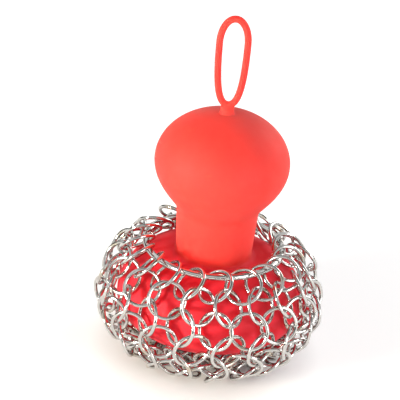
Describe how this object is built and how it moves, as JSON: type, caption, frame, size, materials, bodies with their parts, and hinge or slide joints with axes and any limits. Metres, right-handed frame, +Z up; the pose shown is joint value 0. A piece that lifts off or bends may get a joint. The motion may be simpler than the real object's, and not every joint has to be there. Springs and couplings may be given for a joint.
{
  "type": "pot scrubber",
  "caption": "Hand scrubber: a soft silicone knob and core in a bag of linked steel rings, with a moulded loop to hang it by.",
  "frame": {"origin": "on the surface that the lowest links stand on, under the axis of the knob", "axes": "+Z up along the axis of the knob, neck and core; the hanging loop lies in the XZ plane"},
  "size_m": [0.0808, 0.0809, 0.1269],
  "materials": {
    "silicone": "matte moulded silicone",
    "link_steel": "polished stainless wire"
  },
  "bodies": {
    "handle": {"silicone_handle": "silicone"},
    "loop": {"hanging_loop": "silicone"},
    "closing_ring": {"closing_ring": "link_steel"},
    "mail": {"mail_course_1": "link_steel", "mail_course_2": "link_steel", "mail_course_3": "link_steel", "mail_course_4": "link_steel", "mail_course_5": "link_steel", "mail_course_6": "link_steel", "mail_course_7": "link_steel", "mail_course_8": "link_steel"},
    "foot_ring": {"foot_ring": "link_steel"}
  },
  "joints": [
    {"name": "loop_bend", "type": "hinge", "parent": "handle", "child": "loop", "pos_m": [0, 0, 0.09288], "axis": [1, 0, 0], "range_deg": [-75, 75], "stiffness_Nm_per_rad": 0.003},
    {"name": "mail_lift", "type": "slide", "parent": "handle", "child": "closing_ring", "axis": [0, 0, 1], "range_m": [0, 0.0015]},
    {"name": "mail_turn", "type": "hinge", "parent": "closing_ring", "child": "mail", "pos_m": [0, 0, 0.04155], "axis": [0, 0, 1], "continuous": true},
    {"name": "foot_ring_turn", "type": "hinge", "parent": "mail", "child": "foot_ring", "pos_m": [0, 0, 0.00537], "axis": [0, 0, 1], "continuous": true}
  ]
}
